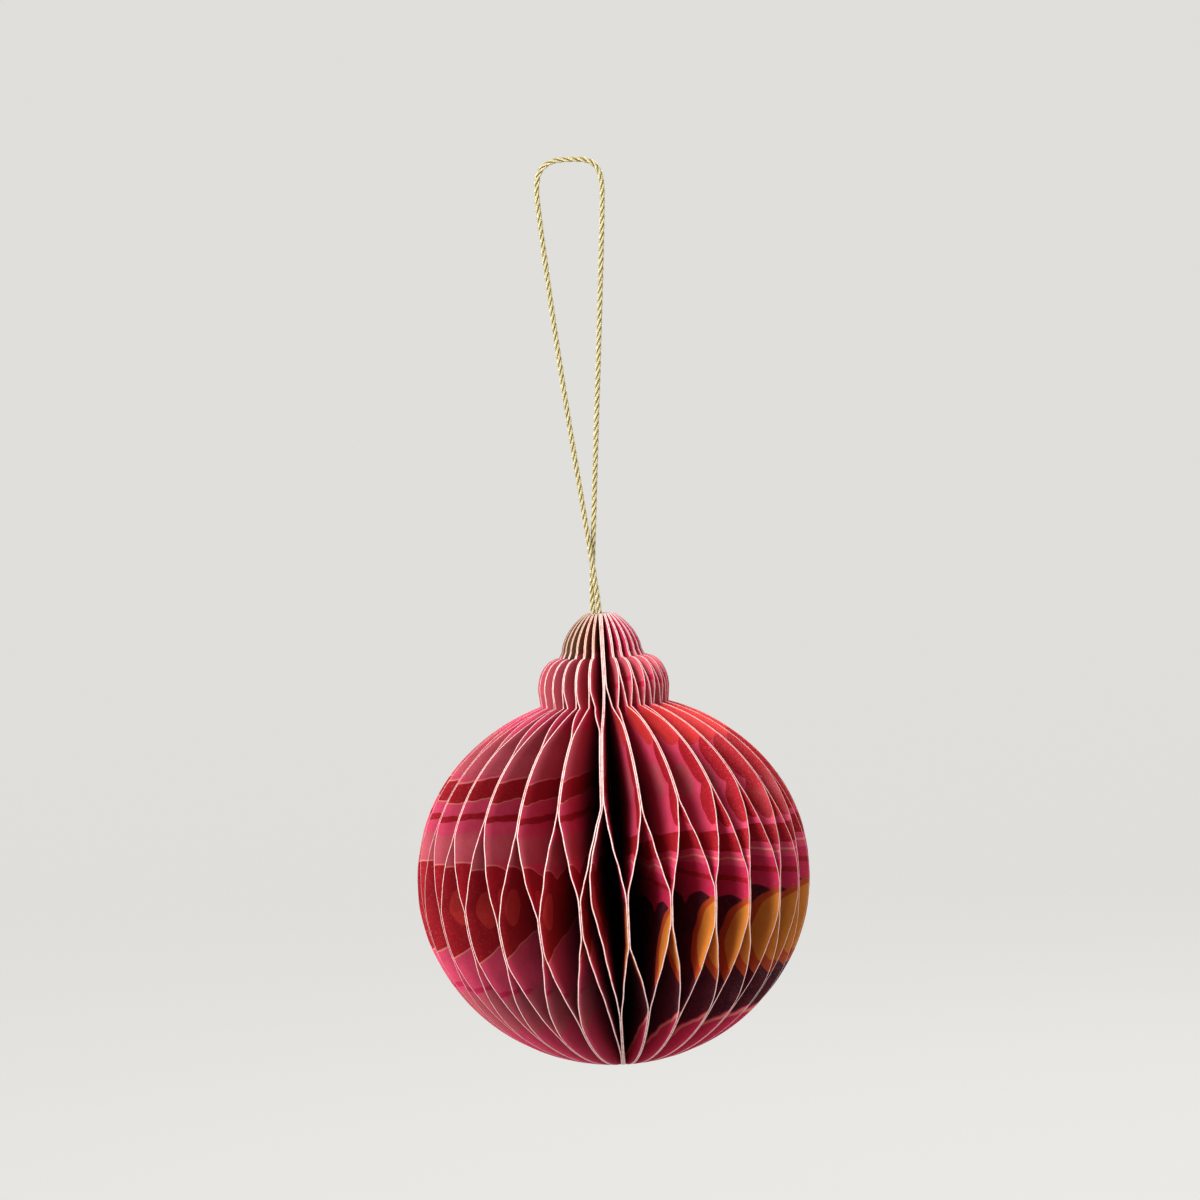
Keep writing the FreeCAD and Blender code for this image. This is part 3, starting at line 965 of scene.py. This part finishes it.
def pale_finish(colour):
    """The backdrop's even finish, which keeps the ball's shadow."""
    sheet = NodeSheet("pale backdrop")
    sheet.set(Base_Color=tuple(BACKDROP_BASE * c for c in colour), Roughness=0.9)
    glow = sheet.add("ShaderNodeEmission", {"Color": colour}).outputs[0]
    seen = sheet.add("ShaderNodeLightPath").outputs["Is Camera Ray"]
    share = sheet.reckon("MULTIPLY", seen, BACKDROP_GLOW)
    even = sheet.add("ShaderNodeMixShader", [share, sheet.shader.outputs[0], glow]).outputs[0]
    sheet.put(sheet.tree.nodes["Material Output"].inputs["Surface"], even)
    return sheet.material


def soft_room(colour):
    """A world that lights the ball softly, and that the camera sees in the backdrop's colour."""
    world = bpy.data.worlds.new("soft room")
    world.use_nodes = True
    nodes, links = world.node_tree.nodes, world.node_tree.links
    soft = nodes["Background"]
    soft.inputs[0].default_value = (1, 1, 1, 1)
    soft.inputs[1].default_value = ROOM_LIGHT
    pale = nodes.new("ShaderNodeBackground")
    pale.inputs[0].default_value = (*colour, 1)
    path = nodes.new("ShaderNodeLightPath")
    either = nodes.new("ShaderNodeMixShader")
    links.new(path.outputs["Is Camera Ray"], either.inputs[0])
    links.new(soft.outputs[0], either.inputs[1])
    links.new(pale.outputs[0], either.inputs[2])
    links.new(either.outputs[0], nodes["World Output"].inputs["Surface"])
    return world


def aimed_camera(distance, roll):
    """The camera at the photograph's distance, angle and roll."""
    data = bpy.data.cameras.new("camera")
    data.sensor_width = SENSOR
    data.lens = SENSOR * distance / VIEW_WIDTH
    data.clip_start = 0.01
    data.clip_end = 20
    camera = bpy.data.objects.new("camera", data)
    bpy.context.scene.collection.objects.link(camera)
    camera.location = (CAMERA_SIDE, -distance, CAMERA_HEIGHT)
    aim = Vector((CAMERA_SIDE, 0, AIM_HEIGHT)) - camera.location
    turned = aim.to_track_quat("-Z", "Y").to_matrix() @ Matrix.Rotation(roll, 3, "Z")
    camera.rotation_euler = turned.to_euler()
    return camera


class Stage(bpy.types.Operator):
    """Set up the pale floor and backdrop, the soft lamps and the camera"""

    bl_idname = "paper_ball.stage"
    bl_label = "Stage"

    def execute(self, context):
        settings = context.scene.paper_ball_stage
        backdrop = sweep_backdrop(CAD_BOX[0].z - settings.floor_drop)
        backdrop.data.materials.append(pale_finish(settings.backdrop))
        middle = (0, 0, PAPER_TOP - LAMP_AIM_DEPTH)
        for name, place, size, power in LAMPS:
            area_lamp(name, place, middle, size, power)
        context.scene.world = soft_room(settings.backdrop)
        context.scene.camera = aimed_camera(settings.camera_distance, settings.roll)
        context.scene.view_settings.view_transform = "Standard"
        return {"FINISHED"}


PIECE_OPERATORS = (CardLeaves, HangingCord, CordKnot, SpineGlue, Stage)
PROPERTY_GROUPS = (PaperBallCard, PaperBallCord, PaperBallStage)


class PaperBallPanel(bpy.types.Panel):
    """Buttons and sizes of the paper ball ornament"""

    bl_idname = "VIEW3D_PT_paper_ball"
    bl_label = "Paper Ball"
    bl_space_type = "VIEW_3D"
    bl_region_type = "UI"
    bl_category = "Paper Ball"

    def draw(self, context):
        layout = self.layout
        scene = context.scene
        for group in (scene.paper_ball_card, scene.paper_ball_cord, scene.paper_ball_stage):
            box = layout.box()
            for name in group.__annotations__:
                box.prop(group, name)
        for operator in PIECE_OPERATORS:
            layout.operator(operator.bl_idname)


def register():
    for cls in (*PROPERTY_GROUPS, *PIECE_OPERATORS, PaperBallPanel):
        bpy.utils.register_class(cls)
    bpy.types.Scene.paper_ball_card = bpy.props.PointerProperty(type=PaperBallCard)
    bpy.types.Scene.paper_ball_cord = bpy.props.PointerProperty(type=PaperBallCord)
    bpy.types.Scene.paper_ball_stage = bpy.props.PointerProperty(type=PaperBallStage)


def unregister():
    del bpy.types.Scene.paper_ball_stage
    del bpy.types.Scene.paper_ball_cord
    del bpy.types.Scene.paper_ball_card
    for cls in reversed((*PROPERTY_GROUPS, *PIECE_OPERATORS, PaperBallPanel)):
        bpy.utils.unregister_class(cls)


def main():
    register()
    bpy.ops.paper_ball.stage()
    bpy.ops.paper_ball.hanging_cord()
    bpy.ops.paper_ball.cord_knot()
    bpy.ops.paper_ball.spine_glue()
    bpy.ops.paper_ball.card_leaves()


if __name__ == "__main__":
    main()
